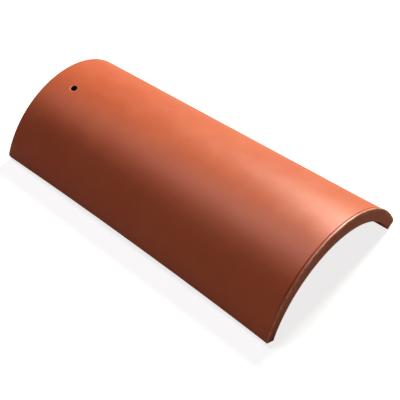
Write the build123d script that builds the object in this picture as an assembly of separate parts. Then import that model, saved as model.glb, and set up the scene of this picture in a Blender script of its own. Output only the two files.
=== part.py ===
from build123d import *
import os
from math import sqrt

# Tapered half-round ridge tile, one pressed piece of fired clay. Millimetres.
# X runs along the tile with the wide end at +X, Y runs across it and Z is up.
# The origin is under the middle of the tile, on the plane it stands on.

# Size over all, before the flare and the lip
length = 450.0
wide_width = 245.0          # between the outer edges of the feet, at the wide end
wide_height = 90.0          # to the crown, at the wide end
narrow_width = 211.0
narrow_height = 79.5

# Wall and feet
crown_wall = 19.5
foot_wall = 13.2            # across the foot face
foot_drop = 5.5             # inner edge of a foot below its outer edge
foot_arch = 3.7             # how far each foot rises at mid-length

# Wide end: a slight flare, then a lip with a crease behind it
flare_length = 65.0
flare_rise = 0.6
lip_width = 3.3
lip_rise = 0.5
lip_end_gap = 3.0           # the lip stops this far above the foot faces
crease_width = 1.6
crease_depth = 0.9

# Nail hole near the narrow end
hole_diameter = 8.5
hole_from_end = 37.0
hole_offset = -11.0         # off the centre line
mouth_radius = 0.8

# Softened edges
corner_radius = 5.0         # lower corners of the narrow end, seen from the side
outer_arris = 1.5
inner_arris = 1.2
lip_arris = 1.0

# How far each cutting shape runs past the tile
past = 20.0

narrow_x, wide_x = -length / 2, length / 2
foot_run = sqrt(foot_wall**2 - foot_drop**2)


def arc_over(half_width, base, crown):
    """Radius and centre height of an arc that stands on base and reaches the crown."""
    rise = crown - base
    radius = (half_width**2 + rise**2) / (2 * rise)
    return radius, crown - radius


def cone(narrow_arc, wide_arc, flare=0.0):
    """Solid cone through an arc at each end of the tile, with a flare at the wide end."""
    start = Vector(narrow_x, 0, narrow_arc[1])
    end = Vector(wide_x, 0, wide_arc[1])
    reach = (end - start).length
    slope = (wide_arc[0] - narrow_arc[0]) / reach
    knee = (reach - flare_length, wide_arc[0] - flare_length * slope)
    mouth = (reach, wide_arc[0] + flare)
    mouth_slope = slope + 2 * flare / flare_length
    with BuildSketch(Plane(origin=start, x_dir=end - start, z_dir=(0, 1, 0))) as half:
        with BuildLine():
            Line((-past, narrow_arc[0] - past * slope), knee)
            if flare:
                TangentArc(knee, mouth, tangent=(1, slope))
            else:
                Line(knee, mouth)
            Polyline(mouth, (reach + past, mouth[1] + past * mouth_slope), (reach + past, 0),
                     (-past, 0), (-past, narrow_arc[0] - past * slope))
        make_face()
    return revolve(half.sketch, Axis(start, end - start), 360)


def under_foot(side):
    """What lies below one foot: arched along it, and sloping down to its inner edge."""
    toe_start = Vector(narrow_x, side * narrow_width / 2, foot_drop)
    toe_end = Vector(wide_x, side * wide_width / 2, foot_drop)
    along = (toe_end - toe_start).normalized()
    outward = Vector(-along.Y, along.X, 0) * side
    across = outward * foot_run + Vector(0, 0, foot_drop)
    half = (toe_end - toe_start).length / 2
    radius = (half**2 + foot_arch**2) / (2 * foot_arch)
    reach = half + past
    low = foot_arch - radius + sqrt(radius**2 - reach**2)
    with BuildSketch(Plane((toe_start + toe_end) / 2, x_dir=along * -side, z_dir=across)) as face:
        with BuildLine():
            ThreePointArc((-reach, low), (0, foot_arch), (reach, low))
            Polyline((reach, low), (reach, -wide_width), (-reach, -wide_width), (-reach, low))
        make_face()
    return extrude(face.sketch, amount=foot_wall + past, both=True)


def is_long(edge, low, high):
    """An edge that runs along a foot, with its middle between two distances off centre."""
    return edge.length > length / 2 and low < abs(edge.center().Y) < high


# Shell: a flared cone less the hollow, cut square at both ends and trimmed at the feet
outer_narrow = arc_over(narrow_width / 2, foot_drop, narrow_height)
outer_wide = arc_over(wide_width / 2, foot_drop, wide_height)
inner_narrow = arc_over(narrow_width / 2 - foot_run, 0, narrow_height - crown_wall)
inner_wide = arc_over(wide_width / 2 - foot_run, 0, wide_height - crown_wall)
room = Pos(0, 0, -past) * Box(length, 2 * wide_width, wide_height + 2 * past,
                              align=(Align.CENTER, Align.CENTER, Align.MIN))
feet = [under_foot(1), under_foot(-1)]
shell = (cone(outer_narrow, outer_wide, flare_rise) - cone(inner_narrow, inner_wide)) & room
shell = shell - feet[0] - feet[1]

# Its lower corners at the narrow end are rounded, then its long edges and the wide end's rims
foot_ends = [e for e in shell.faces().sort_by(Axis.X)[0].edges() if 0 < e.center().Z < foot_drop]
shell = fillet(foot_ends, corner_radius)
middle = (narrow_width + wide_width) / 4 - foot_run / 2
shell = fillet([e for e in shell.edges() if is_long(e, middle, wide_width)], outer_arris)
shell = fillet([e for e in shell.edges() if is_long(e, middle - foot_run, middle)], inner_arris)
rims = [e for e in shell.faces().sort_by(Axis.X)[-1].edges() if e.length > wide_width]
shell = fillet(rims, lip_arris)

# Lip: a band round the wide end that stands proud, with a crease cut behind it
lip_x = wide_x - lip_width
surface = outer_wide[0] + flare_rise
proud = surface + lip_rise
around = Axis((0, 0, outer_wide[1]), (1, 0, 0))
radial = Plane((0, 0, outer_wide[1]), x_dir=(1, 0, 0), z_dir=(0, 1, 0))
band = radial * Pos(lip_x, proud) * Rectangle(lip_width, crown_wall / 3, align=(Align.MIN, Align.MAX))
crease = radial * make_face(Polyline(
    (lip_x, surface - crease_depth), (lip_x, proud), (lip_x - crease_width, proud),
    (lip_x - crease_width, surface), close=True))
lip = revolve(band, around, 360) & room
for foot in feet:
    lip -= Pos(0, 0, lip_end_gap) * foot
lip_rim = lip.faces().sort_by(Axis.X)[-1].edges().sort_by(SortBy.LENGTH)[-1]
lip = fillet(lip_rim, lip_arris)
tile = shell - revolve(crease, around, 360) + lip

# Nail hole, straight down through the wall, with rounded mouths
hole_x = narrow_x + hole_from_end
tile -= Pos(hole_x, hole_offset, 0) * Cylinder(hole_diameter / 2, 3 * wide_height)
mouths = [e for e in tile.edges() if abs(e.center(CenterOf.BOUNDING_BOX).X - hole_x) < 1
          and hole_diameter < e.length / 3 < hole_diameter * 1.1]
tile = fillet(mouths, mouth_radius)

# The feet stand on z = 0
tile = Pos(0, 0, -tile.bounding_box().min.Z) * tile

os.makedirs("parts", exist_ok=True)
export_step(tile, "parts/ridge_tile.step")
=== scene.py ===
import math

import bmesh
import bpy
import numpy as np
from mathutils import Matrix, Vector, noise


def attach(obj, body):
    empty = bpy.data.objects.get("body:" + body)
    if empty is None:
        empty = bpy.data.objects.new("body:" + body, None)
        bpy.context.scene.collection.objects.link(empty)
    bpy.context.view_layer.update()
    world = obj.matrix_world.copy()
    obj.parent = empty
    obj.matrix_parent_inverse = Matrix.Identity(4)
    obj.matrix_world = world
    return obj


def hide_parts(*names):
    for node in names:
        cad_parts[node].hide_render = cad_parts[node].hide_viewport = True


# Tapered half-round ridge tile of fired clay. Metres, in the frame of its solid.
# X runs along the tile with the wide end at +X, Y runs across it and Z is up.

# The tile's sizes, the same as those of its solid
length = 0.450
wide_width = 0.245          # between the outer edges of the feet, at the wide end
wide_height = 0.090         # to the crown, at the wide end
narrow_width = 0.211
narrow_height = 0.0795
crown_wall = 0.0195
foot_wall = 0.0132          # across the foot face
foot_drop = 0.0055          # inner edge of a foot below its outer edge
foot_arch = 0.0037          # how far each foot rises at mid-length
flare_length = 0.065
flare_rise = 0.0006
lip_width = 0.0033
lip_rise = 0.0005
lip_end_gap = 0.003         # the solid's lip stops this far above the foot faces
crease_width = 0.0016
crease_depth = 0.0009
hole_diameter = 0.0085
hole_from_end = 0.037
hole_offset = -0.011        # off the centre line
mouth_radius = 0.0008
corner_radius = 0.005       # lower corners of the narrow end, seen from the side
outer_arris = 0.0015
inner_arris = 0.0012
lip_arris = 0.001

narrow_x, wide_x = -length / 2, length / 2
lip_x = wide_x - lip_width
hole_x = narrow_x + hole_from_end
hole_radius = hole_diameter / 2
foot_run = math.sqrt(foot_wall**2 - foot_drop**2)
foot_slope = foot_drop / foot_run

# The lip and the crease fade in between these heights above the foot faces
lip_fade = (1.5 * lip_end_gap, 2.1 * lip_end_gap)
crease_fade = (0.001, 0.012)
lip_step = 0.0003           # length of the step from the crease up to the lip

# How finely the piece is meshed across
arc_steps = 104             # from the crown to a foot
arris_steps = 6             # round a foot's edge
foot_steps = 4              # across a foot face
side_count = arc_steps + arris_steps            # points from the crown to the end of a toe
half_count = 2 * side_count + foot_steps - 1    # points of half a section
around = 2 * half_count - 2                     # points of a whole section

# How finely it is meshed along: lengths of the cells
corner_cell = 0.0009        # over the narrow end's rounded corners
corner_margin = 0.001       # and this far past them
end_cell = 0.0023           # near both ends
middle_cell = 0.00337
lip_cell = 0.00045
crease_stations = (-0.0024, -0.0018, -0.0014, -0.0010, -0.0006, -0.0003,
                   -0.0001, 0.0, 0.0001, 0.0002, 0.0003, 0.0005)    # from the back of the lip

# How finely the nail hole is meshed
patch_steps = 12            # cells across the square that holds it
patch_half = 0.008
ring_shares = (0.3, 0.58, 0.82, 1.0)            # rings on the way from that square to the mouth
mouth_steps = 5             # round the mouth's edge
wall_steps = 7              # down the wall

# Marks that the clay's material reads, with one value at each point
mark_names = ("inside", "rim", "groove", "mouth", "bore")
bare_reach = 0.0001         # this near the wide end's face, the lip shows bare clay
crease_dust_and_shade_line = 0.0003          # how far behind the lip the middle of the crease's dust and painted shade lies
crease_dust_and_shade_fade = (0.0013, 0.0004)                    # how far from that middle it starts, and is full
crease_dust_and_shade_thins = (0.080, 0.110)                     # how far off the centre line it thins out
crease_dust_and_shade_loss = 0.85
rim_highlight_fade = (0.0017, 0.0008)                     # how far from the wide end the painted highlight starts, and is full
mouth_highlight_fade = (0.7, 1.0)     # the same round the hole, as shares of the way to its mouth
brightest_side = 223             # where the painted highlight on the mouth is brightest (degrees from +X)
least_highlight = 0.25

# Relief of the hand-pressed face, all of it inwards, with its waves per metre
swell_depth = 0.00022
swell_waves, swell_share = 11.0, 0.5
ripple_waves, ripple_share = 34.0, 0.2
ripple_shift = Vector((3, 1, 7))                # the noise starts elsewhere, so the waves differ
press_depth = 0.00005
press_waves = 95.0
press_shift = Vector((5, 9, 2))
chip_depth = 0.0006
chip_waves = 210.0
chip_limit = 0.12           # only what the noise has above this is a chip
least_depth = 0.00002
foot_margin = 0.005         # the relief fades out over this height, so the feet stand as they are

# Camera, from the fit of the tile's outline in the photograph (metres and degrees)
camera_azimuth = 46.865     # from +X towards -Y
camera_elevation = 47.077
camera_roll = -2.366
camera_distance = 1.60278
pan_right = 0.0127
pan_up = -0.0412
aim_height = 0.0496
sensor_width = 36.0
lens = 116.6

# Light and floor
tile_middle = (0, 0, 0.05)
world_light = 0.02          # strength of the surroundings on the clay
world_sheen = 0.20          # and in its reflections
floor_reach = 6.0
floor_gap = 0.0002          # keeps the floor clear of the feet
floor_glow = 0.80           # what the camera sees on top of the floor's own white

# Colours of the slipped face, of bare clay, and of what changes them
face_dark = (0.590, 0.104, 0.035, 1)
face_light = (0.640, 0.130, 0.043, 1)
face_cloud = (0.680, 0.172, 0.067, 1)
face_streak = (0.540, 0.099, 0.034, 1)
face_grain = (0.500, 0.088, 0.031, 1)
face_speck = (0.300, 0.050, 0.025, 1)
bare_dark = (0.500, 0.115, 0.048, 1)
bare_light = (0.680, 0.172, 0.076, 1)
bare_speck = (0.200, 0.070, 0.040, 1)
# dust in the crease, made darker by painted shade
crease_dust_and_shade_colour = (0.250, 0.034, 0.014, 1)
# painted highlight on the wide end's arris and on the nail hole's mouth
painted_highlight_colour = (0.900, 0.450, 0.300, 1)
# painted shade: the nail hole's wall, near black
bore_shade_colour = (0.050, 0.020, 0.016, 1)

# Finish of the clay
streak_scale = (6.0, 60.0, 60.0)                # streaks are ten times as long as they are wide
face_roughness = (0.40, 0.47)
bare_roughness = 0.32       # how much rougher bare clay is
fine_grain = 0.35           # height of the grain everywhere
coarse_grain = 2.2          # and of the bare clay's own
bump_strength = 0.25
bump_depth = 0.00030

# Colours of the surroundings
white = (1, 1, 1, 1)
world_colour = (1.0, 0.97, 0.94, 1)
floor_colour = (0.42, 0.41, 0.40, 1)            # for the light that it throws on the clay
floor_white = (0.6, 0.6, 0.6, 1)                # as the camera sees it

scene = bpy.context.scene
scene.view_settings.view_transform = "Standard"

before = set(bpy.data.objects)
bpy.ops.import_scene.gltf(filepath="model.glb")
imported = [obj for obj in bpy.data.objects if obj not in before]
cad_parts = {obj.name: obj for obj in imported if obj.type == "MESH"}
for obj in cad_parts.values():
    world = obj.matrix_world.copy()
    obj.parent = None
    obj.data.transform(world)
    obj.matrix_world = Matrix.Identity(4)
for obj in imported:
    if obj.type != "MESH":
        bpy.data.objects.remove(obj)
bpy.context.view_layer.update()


def ease(a, b, x):
    """Smooth step: 0 at a and 1 at b, whichever of them is the larger."""
    t = np.clip((x - a) / (b - a), 0, 1)
    return t * t * (3 - 2 * t)


def arc_over(half_width, base, crown):
    """Radius and centre height of an arc that stands on base and reaches the crown."""
    rise = crown - base
    radius = (half_width**2 + rise**2) / (2 * rise)
    return np.array([radius, crown - radius])


outer_narrow = arc_over(narrow_width / 2, foot_drop, narrow_height)
outer_wide = arc_over(wide_width / 2, foot_drop, wide_height)
inner_narrow = arc_over(narrow_width / 2 - foot_run, 0, narrow_height - crown_wall)
inner_wide = arc_over(wide_width / 2 - foot_run, 0, wide_height - crown_wall)


def outer_circle(x):
    """Radius and centre height of the outer face at x."""
    share = (x - narrow_x) / length
    radius, centre = outer_narrow + (outer_wide - outer_narrow) * share
    flare = max(0.0, x - wide_x + flare_length) / flare_length
    return radius + flare_rise * flare**2, centre


def inner_circle(x):
    """Radius and centre height of the inner face at x."""
    share = (x - narrow_x) / length
    return inner_narrow + (inner_wide - inner_narrow) * share


def height_on(circle_at, x, y):
    """Height of the outer or the inner face at x and y."""
    radius, centre = circle_at(x)
    return centre + math.sqrt(radius**2 - y**2)


def on_arc(circle, angle):
    """Point or points of a circle, at angles from its crown."""
    radius, centre = circle
    return np.stack([radius * np.sin(angle), centre + radius * np.cos(angle)], -1)


def meets_foot(circle, base):
    """Angle from the crown at which a circle meets the foot face's line, at height base where y is 0."""
    radius, centre = circle
    across = (base - centre) / (radius * math.hypot(1, foot_slope))
    return math.acos(across) - math.atan(foot_slope)


def lip_profile(x):
    """How far the outer face stands proud at x near the wide end, where the lip is whole."""
    back = x - lip_x
    into = ease(-crease_width, 0.0, back) * crease_depth
    out = ease(0.0, lip_step, back)
    return -into * (1 - out) + lip_rise * out


def corner(before, point, after, radius, steps):
    """Points of an arc that rounds the corner at point."""
    a = (before - point) / np.linalg.norm(before - point)
    b = (after - point) / np.linalg.norm(after - point)
    half = math.acos(np.clip(a @ b, -1, 1)) / 2
    reach = radius / math.tan(half)
    centre = point + (a + b) / np.linalg.norm(a + b) * radius / math.sin(half)
    start = point + a * reach - centre
    end = point + b * reach - centre
    turn = math.acos(np.clip(start @ end / radius**2, -1, 1))
    t = np.linspace(0, 1, steps)
    arc = np.outer(np.sin((1 - t) * turn), start) + np.outer(np.sin(t * turn), end)
    return arc / math.sin(turn) + centre


def foot_rise(x):
    """How far the feet are lifted at x, by their arch and by the narrow end's rounded corners."""
    arch = foot_arch * (1 - (2 * x / length) ** 2)
    near = max(0.0, corner_radius - (x - narrow_x))
    return arch + corner_radius - math.sqrt(max(0.0, corner_radius**2 - near**2))


def half_section(x):
    """Half of the section at x, from the crown outside round the foot to the crown inside."""
    share = (x - narrow_x) / length
    toe = (narrow_width + (wide_width - narrow_width) * share) / 2
    base = foot_drop + foot_rise(x) - foot_slope * toe
    outer, inner = outer_circle(x), inner_circle(x)
    end_out, end_in = meets_foot(outer, base), meets_foot(inner, base)
    little = 0.01           # an angle, for the direction of each arc at its end
    before, after = on_arc(outer, end_out - little), on_arc(inner, end_in - little)
    toe_point, heel_point = on_arc(outer, end_out), on_arc(inner, end_in)
    toe_arc = corner(before, toe_point, heel_point, outer_arris, arris_steps)
    heel_arc = corner(toe_point, heel_point, after, inner_arris, arris_steps)
    last_out = math.atan2(toe_arc[0][0], toe_arc[0][1] - outer[1])
    last_in = math.atan2(heel_arc[-1][0], heel_arc[-1][1] - inner[1])
    down = on_arc(outer, np.linspace(0, last_out, arc_steps + 1))[:-1]
    up = on_arc(inner, np.linspace(last_in, 0, arc_steps + 1))[1:]
    t = np.linspace(0, 1, foot_steps + 1)[1:-1, None]
    sole = toe_arc[-1] + (heel_arc[0] - toe_arc[-1]) * t
    return np.vstack([down, toe_arc, sole, heel_arc, up])


def section(x):
    """The whole section at x as a closed loop, from the crown outside down its +Y side first."""
    half = half_section(x)
    other = half[-2:0:-1] * (-1, 1)
    return np.vstack([half, other])


def outward(loop):
    """Directions away from the clay at the points of a section."""
    along = np.roll(loop, -1, 0) - np.roll(loop, 1, 0)
    normal = np.stack([-along[:, 1], along[:, 0]], -1)
    return normal / np.linalg.norm(normal, axis=1)[:, None]


def between(a, b, cell):
    """Stations on the way from a to b, without those two."""
    steps = round((b - a) / cell)
    return np.linspace(a, b, steps + 1)[1:-1]


def stations():
    """Where the sections stand: finely at both ends, at the crease and round the nail hole."""
    turn = np.linspace(0, math.pi / 2, arris_steps + 1)
    start = narrow_x + outer_arris * (1 - np.cos(turn))
    corner_end = narrow_x + corner_radius + corner_margin
    patch = hole_x + np.linspace(-patch_half, patch_half, patch_steps + 1)
    flare_start = wide_x - flare_length
    crease = lip_x + np.array(crease_stations)
    end = wide_x - lip_arris * (1 - np.cos(turn[::-1]))
    return np.concatenate([
        start,
        between(start[-1], corner_end, corner_cell), [corner_end],
        between(corner_end, patch[0], end_cell),
        patch,
        between(patch[-1], flare_start, middle_cell), [flare_start],
        between(flare_start, crease[0], end_cell),
        crease,
        between(crease[-1], end[0], lip_cell),
        end,
    ])


class Skin:
    """The tile's mesh while it is made: points, their marks and the faces that join them."""

    def __init__(self):
        self.points = []
        self.marks = {name: [] for name in mark_names}
        self.faces = []

    def add(self, place, **marks):
        """Adds one point and gives its number."""
        self.points.append(tuple(place))
        for name in mark_names:
            self.marks[name].append(marks.get(name, 0.0))
        return len(self.points) - 1

    def strip(self, upper, lower):
        """Quads between two rows of points."""
        for c in range(len(upper) - 1):
            self.faces.append((upper[c], upper[c + 1], lower[c + 1], lower[c]))

    def band(self, upper, lower):
        """Quads between two closed rings of points."""
        self.strip(upper + upper[:1], lower + lower[:1])


def add_section(skin, x):
    """One section with its lip, crease and rounded rims. Gives the numbers of its points."""
    loop = section(x)
    normal = outward(loop)
    index = np.arange(around)
    is_outer = np.minimum(index, around - index) < side_count

    # the lip and the crease, which both fade out above the feet
    above_sole = loop[:, 1] - loop[side_count + 1, 1]
    lip_share = ease(*lip_fade, above_sole)
    crease_share = ease(*crease_fade, above_sole)
    profile = lip_profile(x)
    share = lip_share if profile > 0 else crease_share
    loop = loop + normal * (profile * share * is_outer)[:, None]

    # the rounded rims of the ends
    near = min(x - narrow_x, wide_x - x)
    if x < 0:
        arris = np.where(is_outer, outer_arris, inner_arris)
    else:
        arris = np.full(around, lip_arris)
    depth = np.clip(1 - near / arris, 0, 1)
    inset = arris * (1 - np.sqrt(1 - depth**2))
    loop = loop - normal * inset[:, None]

    # the marks
    bare_lip = (lip_share == 1) & (wide_x - x < bare_reach)
    inside = np.where(is_outer & ~bare_lip, 0.0, 1.0)
    # the crease's dust, with painted shade
    dust_and_shade = ease(*crease_dust_and_shade_fade, abs(x - lip_x + crease_dust_and_shade_line))
    groove = dust_and_shade * (1 - crease_dust_and_shade_loss * ease(*crease_dust_and_shade_thins, abs(loop[:, 0]))) * is_outer
    # painted highlight along the wide end's arris
    rim = ease(*rim_highlight_fade, wide_x - x) * is_outer
    row = []
    for j, (y, z) in enumerate(loop):
        row.append(skin.add((x, y, z), inside=inside[j], groove=groove[j], rim=rim[j]))
    return row


def join_sections(skin, rows, open_cells):
    """Quads between neighbouring sections, apart from the cells that the nail hole takes up."""
    for i in range(len(rows) - 1):
        for j in range(around):
            if (i, j) not in open_cells:
                k = (j + 1) % around
                skin.faces.append((rows[i][j], rows[i][k], rows[i + 1][k], rows[i + 1][j]))


def close_end(skin, row):
    """Rows of quads across the wall at one end, from the outer arc to the inner one."""
    steps = np.arange(1, side_count)
    outer = [row[j] for j in steps[::-1]] + [row[0]] + [row[around - j] for j in steps]
    crown = half_count - 1
    inner = [row[crown - j] for j in steps[::-1]] + [row[crown]] + [row[crown + j] for j in steps]
    upper = outer
    for r in range(foot_steps - 1):
        share = (r + 1) / foot_steps
        on_sole = side_count + r
        lower = [row[on_sole]]
        for a, b in zip(outer[1:-1], inner[1:-1]):
            place = np.array(skin.points[a]) * (1 - share) + np.array(skin.points[b]) * share
            lower.append(skin.add(place, inside=1.0))
        lower.append(row[around - on_sole])
        skin.strip(upper, lower)
        upper = lower
    skin.strip(upper, inner)


def columns_round_hole(positions):
    """Of the positions along a section, those that the square round the nail hole takes up."""
    nearest = int(np.argmin(abs(section(hole_x)[positions, 0] - hole_offset)))
    half = patch_steps // 2
    return positions[nearest - half: nearest + half + 1]


def ring_round_hole(rows, first, columns):
    """The points round the edge of the square that the nail hole takes up."""
    last = first + patch_steps
    edge = [(first, j) for j in columns[:-1]]
    edge += [(i, columns[-1]) for i in range(first, last)]
    edge += [(last, j) for j in columns[:0:-1]]
    edge += [(i, columns[0]) for i in range(last, first, -1)]
    return [rows[i][j] for i, j in edge]


def mouth_highlight_at(angle):
    """How strong the painted highlight on the mouth of the nail hole is, most on one side."""
    return least_highlight + (1 - least_highlight) * max(0.0, math.cos(angle - math.radians(brightest_side)))


def open_mouth(skin, ring, circle_at, inwards, inside):
    """Rings from the square's edge to the hole's mouth and round its edge. Gives the last ring."""
    square = [skin.points[v][:2] for v in ring]
    first_corner = math.radians(135)
    angles = first_corner + 2 * math.pi * np.arange(len(ring)) / len(ring)

    def on_ring(reach, angle):
        return hole_x + reach * math.cos(angle), hole_offset + reach * math.sin(angle)

    mouth = [on_ring(hole_radius + mouth_radius, a) for a in angles]
    for share in ring_shares:
        made = []
        for a, (sx, sy), (mx, my) in zip(angles, square, mouth):
            x = sx + (mx - sx) * share
            y = sy + (my - sy) * share
            # the mouth's painted highlight, brightest on one side
            mouth_highlight = ease(*mouth_highlight_fade, share) * mouth_highlight_at(a)
            made.append(skin.add((x, y, height_on(circle_at, x, y)), inside=inside, mouth=mouth_highlight))
        skin.band(ring, made)
        ring = made
    for step in range(1, mouth_steps + 1):
        done = step / mouth_steps
        turn = math.pi / 2 * done
        reach = hole_radius + mouth_radius * (1 - math.sin(turn))
        made = []
        for a, (mx, my) in zip(angles, mouth):
            z = height_on(circle_at, mx, my) + inwards * mouth_radius * (1 - math.cos(turn))
            place = (*on_ring(reach, a), z)
            made.append(skin.add(place, inside=max(inside, done), mouth=mouth_highlight_at(a), bore=done))
        skin.band(ring, made)
        ring = made
    return ring


def line_hole(skin, top, bottom):
    """The nail hole's wall, between the ends of its two mouths."""
    ring = top
    for step in range(1, wall_steps):
        share = step / wall_steps
        made = []
        for a, b in zip(top, bottom):
            place = [u + (v - u) * share for u, v in zip(skin.points[a], skin.points[b])]
            made.append(skin.add(place, inside=1.0, bore=1.0))
        skin.band(ring, made)
        ring = made
    skin.band(ring, bottom)


def tile_skin():
    """The tile's smooth skin, closed at both ends, with the nail hole through it."""
    skin = Skin()
    xs = stations()
    rows = [add_section(skin, x) for x in xs]
    first = int(np.argmin(abs(xs - (hole_x - patch_half))))
    # the hole lies on the -Y side, so its square is looked for along that side's two arcs
    steps = np.arange(1, arc_steps)
    outer_columns = columns_round_hole(around - steps)
    inner_columns = columns_round_hole(half_count - 1 + steps)
    open_cells = {
        (i, j)
        for columns in (outer_columns, inner_columns)
        for i in range(first, first + patch_steps)
        for j in range(min(columns), max(columns))
    }
    join_sections(skin, rows, open_cells)
    close_end(skin, rows[0])
    close_end(skin, rows[-1])
    outer_ring = ring_round_hole(rows, first, outer_columns)
    inner_ring = ring_round_hole(rows, first, inner_columns)
    top = open_mouth(skin, outer_ring, outer_circle, inwards=-1, inside=0.0)
    bottom = open_mouth(skin, inner_ring, inner_circle, inwards=1, inside=1.0)
    line_hole(skin, top, bottom)
    return skin


def relief_depth(place, rim):
    """How far in from the smooth skin the pressed face lies at a point."""
    swell = noise.noise(place * swell_waves) * swell_share
    swell += noise.noise(place * ripple_waves + ripple_shift) * ripple_share
    press = noise.noise(place * press_waves + press_shift)
    chip = max(0.0, noise.noise(place * chip_waves) - chip_limit) * rim
    depth = swell_depth * (0.5 + swell) + press_depth * (0.5 + 0.5 * press) + chip_depth * chip
    return max(least_depth, depth) * ease(0.0, foot_margin, place.z)


def build_tile():
    """The tile as one mesh with its relief and its marks."""
    skin = tile_skin()
    points = np.array(skin.points)
    points[:, 2] -= points[:, 2].min()
    mesh = bpy.data.meshes.new("tile")
    mesh.from_pydata(points.tolist(), [], skin.faces)
    work = bmesh.new()
    work.from_mesh(mesh)
    bmesh.ops.recalc_face_normals(work, faces=work.faces)
    layers = {name: work.verts.layers.float.new(name) for name in mark_names}
    for name, layer in layers.items():
        for v in work.verts:
            v[layer] = skin.marks[name][v.index]
    unused = [v for v in work.verts if not v.link_faces]
    bmesh.ops.delete(work, geom=unused, context="VERTS")
    work.normal_update()
    moves = [-v.normal * relief_depth(v.co, v[layers["rim"]]) for v in work.verts]
    for v, move in zip(work.verts, moves):
        v.co += move
    for f in work.faces:
        f.smooth = True
    work.to_mesh(mesh)
    work.free()
    piece = bpy.data.objects.new("tile_body", mesh)
    scene.collection.objects.link(piece)
    return piece


def direction(azimuth, elevation):
    """Unit vector at so many degrees from +X towards +Y, and upwards."""
    azimuth, elevation = math.radians(azimuth), math.radians(elevation)
    return Vector((
        math.cos(azimuth) * math.cos(elevation),
        math.sin(azimuth) * math.cos(elevation),
        math.sin(elevation),
    ))


def make_camera():
    """Camera at the photograph's viewing angle, rolled about its own axis and then moved aside."""
    back = direction(-camera_azimuth, camera_elevation)
    level = Vector((0, 0, 1)).cross(back).normalized()
    above = back.cross(level)
    roll = math.radians(camera_roll)
    right = math.cos(roll) * level + math.sin(roll) * above
    up = -math.sin(roll) * level + math.cos(roll) * above
    data = bpy.data.cameras.new("camera")
    data.sensor_width = sensor_width
    data.lens = lens
    data.clip_start = 0.05
    data.clip_end = 20
    camera = bpy.data.objects.new("camera", data)
    place = back * camera_distance + right * pan_right + up * pan_up + Vector((0, 0, aim_height))
    turn = Matrix((right, up, back)).transposed()
    camera.matrix_world = Matrix.Translation(place) @ turn.to_4x4()
    scene.collection.objects.link(camera)
    scene.camera = camera


def area_light(name, azimuth, elevation, distance, size, power, colour,
               aim=tile_middle, sheen_only=False):
    """Square lamp that faces aim, in the direction given as azimuth and elevation from there."""
    way = direction(azimuth, elevation)
    data = bpy.data.lights.new(name, "AREA")
    data.shape = "SQUARE"
    data.size = size
    data.energy = power
    data.color = colour
    light = bpy.data.objects.new(name, data)
    light.location = Vector(aim) + way * distance
    light.rotation_mode = "QUATERNION"
    light.rotation_quaternion = (-way).to_track_quat("-Z", "Y")
    if sheen_only:
        light.visible_diffuse = False
        light.visible_camera = False
    scene.collection.objects.link(light)


def make_lights():
    area_light("key", azimuth=95, elevation=36.5, distance=2.2, size=0.6, power=62.5,
               colour=(1.0, 1.0, 0.84))
    area_light("top", azimuth=180, elevation=70, distance=2.2, size=0.8, power=10.5,
               colour=(1.0, 0.94, 0.96))
    area_light("low", azimuth=305, elevation=15, distance=1.1, size=0.5, power=0.68,
               colour=(1.0, 0.80, 1.0), aim=(0.10, 0, 0.05))
    # two more give the pale sheen near the wide end's crown, and light nothing else
    area_light("sheen", azimuth=95, elevation=42, distance=1.2, size=0.5, power=5,
               colour=(1.0, 1.0, 0.95), aim=(0.18, 0.02, 0.09), sheen_only=True)
    area_light("glint", azimuth=108, elevation=50, distance=0.2, size=0.08, power=0.35,
               colour=(1.0, 1.0, 0.95), aim=(0.218, 0.0, 0.089), sheen_only=True)


class Nodes:
    """Short calls for building the node tree of a material or a world."""

    def __init__(self, owner):
        owner.use_nodes = True
        self.tree = owner.node_tree
        self.tree.nodes.clear()

    def add(self, kind, values=None, **settings):
        """A node with its inputs linked to sockets or set to values."""
        node = self.tree.nodes.new(kind)
        for key, value in settings.items():
            setattr(node, key, value)
        for key, value in (values or {}).items():
            if isinstance(value, bpy.types.NodeSocket):
                self.tree.links.new(value, node.inputs[key])
            else:
                node.inputs[key].default_value = value
        return node

    def mark(self, name):
        return self.add("ShaderNodeAttribute", attribute_name=name).outputs["Fac"]

    def noise(self, where, scale, detail, roughness=0.55):
        made = self.add("ShaderNodeTexNoise", {
            "Vector": where, "Scale": scale, "Detail": detail, "Roughness": roughness,
        })
        return made.outputs["Fac"]

    def span(self, value, low, high, to_low=0.0, to_high=1.0):
        """The value with the range low to high stretched over to_low to to_high."""
        made = self.add("ShaderNodeMapRange", {
            "Value": value, "From Min": low, "From Max": high, "To Min": to_low, "To Max": to_high,
        })
        return made.outputs["Result"]

    def calc(self, operation, a, b):
        return self.add("ShaderNodeMath", {0: a, 1: b}, operation=operation).outputs[0]

    def mix(self, share, a, b):
        """Colour a, with a share of colour b."""
        return self.add("ShaderNodeMix", {0: share, 6: a, 7: b}, data_type="RGBA").outputs[2]

    def mix_shaders(self, share, a, b):
        values = {0: share, 1: a.outputs[0], 2: b.outputs[0]}
        return self.add("ShaderNodeMixShader", values).outputs[0]


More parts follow.
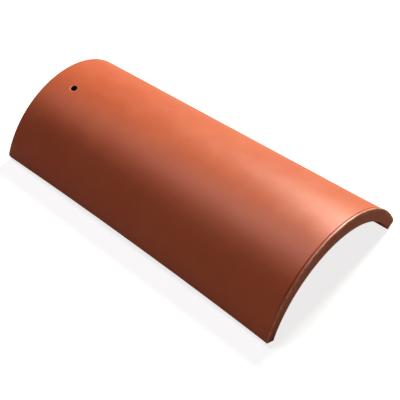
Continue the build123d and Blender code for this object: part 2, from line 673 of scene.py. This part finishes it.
def fired_clay():
    """Fired clay with a slipped face outside and bare clay elsewhere."""
    material = bpy.data.materials.new("fired_clay")
    nodes = Nodes(material)
    where = nodes.add("ShaderNodeTexCoord").outputs["Object"]
    stretched = nodes.add("ShaderNodeMapping", {"Vector": where, "Scale": streak_scale}).outputs[0]
    broad = nodes.noise(where, scale=7.0, detail=3.0)
    cloudy = nodes.noise(where, scale=38.0, detail=4.0)
    streak = nodes.noise(stretched, scale=1.0, detail=4.0)
    patchy = nodes.noise(where, scale=130.0, detail=3.0)
    coarse = nodes.noise(where, scale=240.0, detail=5.0, roughness=0.65)
    specks = nodes.noise(where, scale=420.0, detail=2.0, roughness=0.5)
    grain = nodes.noise(where, scale=1100.0, detail=3.0, roughness=0.6)

    # the slipped face: warm red-brown, faintly clouded and streaked along the tile
    face = nodes.mix(nodes.span(broad, 0.35, 0.65), face_dark, face_light)
    face = nodes.mix(nodes.span(cloudy, 0.45, 0.8, 0.0, 0.30), face, face_cloud)
    face = nodes.mix(nodes.span(streak, 0.55, 0.85, 0.0, 0.25), face, face_streak)
    face = nodes.mix(nodes.span(grain, 0.35, 0.7, 0.0, 0.18), face, face_grain)
    face = nodes.mix(nodes.span(specks, 0.70, 0.78, 0.0, 0.35), face, face_speck)

    # bare clay inside, on the feet and on the cut ends: duller and rougher
    bare = nodes.mix(nodes.span(coarse, 0.35, 0.68), bare_dark, bare_light)
    bare = nodes.mix(nodes.span(specks, 0.66, 0.76, 0.0, 0.5), bare, bare_speck)
    inside = nodes.mark("inside")
    clay = nodes.mix(inside, face, bare)

    # the crease holds dust, darkened further as painted shade; the arris in front of it and the hole's
    # mouth carry a painted highlight
    dust_and_shade = nodes.calc("MULTIPLY", nodes.mark("groove"), nodes.span(patchy, 0.25, 0.6, 0.45, 0.85))
    clay = nodes.mix(dust_and_shade, clay, crease_dust_and_shade_colour)
    # painted highlights on the arris and round the hole's mouth
    arris_highlight = nodes.calc("MULTIPLY", nodes.mark("rim"), nodes.span(patchy, 0.40, 0.58, 0.10, 0.85))
    mouth_highlight = nodes.calc("MULTIPLY", nodes.mark("mouth"), nodes.span(patchy, 0.35, 0.6, 0.25, 0.8))
    clay = nodes.mix(nodes.calc("MAXIMUM", arris_highlight, mouth_highlight), clay, painted_highlight_colour)

    # the nail hole's wall is painted near black, as painted shade
    clay = nodes.mix(nodes.span(nodes.mark("bore"), 0.65, 1.0, 0.0, 0.92), clay, bore_shade_colour)

    roughness = nodes.span(cloudy, 0.3, 0.7, *face_roughness)
    roughness = nodes.calc("ADD", roughness, nodes.calc("MULTIPLY", inside, bare_roughness))
    fine = nodes.calc("MULTIPLY", grain, fine_grain)
    rough = nodes.calc("MULTIPLY", nodes.calc("MULTIPLY", coarse, inside), coarse_grain)
    height = nodes.calc("ADD", fine, rough)
    bump = nodes.add("ShaderNodeBump", {
        "Height": height, "Strength": bump_strength, "Distance": bump_depth,
    })
    shader = nodes.add("ShaderNodeBsdfPrincipled", {
        "Base Color": clay, "Normal": bump.outputs["Normal"], "Roughness": roughness, "IOR": 1.5,
    })
    nodes.add("ShaderNodeOutputMaterial", {"Surface": shader.outputs[0]})
    return material


def make_floor():
    """Plain pale floor that the camera sees near white, and that throws less light on the clay."""
    material = bpy.data.materials.new("pale_floor")
    nodes = Nodes(material)
    seen = nodes.add("ShaderNodeLightPath").outputs["Is Camera Ray"]
    plain = nodes.add("ShaderNodeBsdfDiffuse", {"Color": floor_colour})
    matt = nodes.add("ShaderNodeBsdfDiffuse", {"Color": floor_white})
    glow = nodes.add("ShaderNodeEmission", {"Color": white, "Strength": floor_glow})
    pale = nodes.add("ShaderNodeAddShader", {0: matt.outputs[0], 1: glow.outputs[0]})
    nodes.add("ShaderNodeOutputMaterial", {"Surface": nodes.mix_shaders(seen, plain, pale)})
    mesh = bpy.data.meshes.new("floor")
    corners = [(x * floor_reach, y * floor_reach, 0) for x, y in ((-1, -1), (1, -1), (1, 1), (-1, 1))]
    mesh.from_pydata(corners, [], [(0, 1, 2, 3)])
    mesh.materials.append(material)
    floor = bpy.data.objects.new("floor", mesh)
    floor.location.z = -floor_gap
    scene.collection.objects.link(floor)


def make_world():
    """Surroundings that are white to the camera, and dim for the clay."""
    world = bpy.data.worlds.new("studio")
    scene.world = world
    nodes = Nodes(world)
    path = nodes.add("ShaderNodeLightPath")
    strength = nodes.span(path.outputs["Is Glossy Ray"], 0.0, 1.0, world_light, world_sheen)
    dim = nodes.add("ShaderNodeBackground", {"Color": world_colour, "Strength": strength})
    pale = nodes.add("ShaderNodeBackground", {"Color": white, "Strength": 1.0})
    nodes.add("ShaderNodeOutputWorld", {
        "Surface": nodes.mix_shaders(path.outputs["Is Camera Ray"], dim, pale),
    })


make_camera()
make_world()
make_floor()
make_lights()

clay = fired_clay()
tile = build_tile()
tile.data.materials.append(clay)
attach(tile, "root")
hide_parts("ridge_tile")
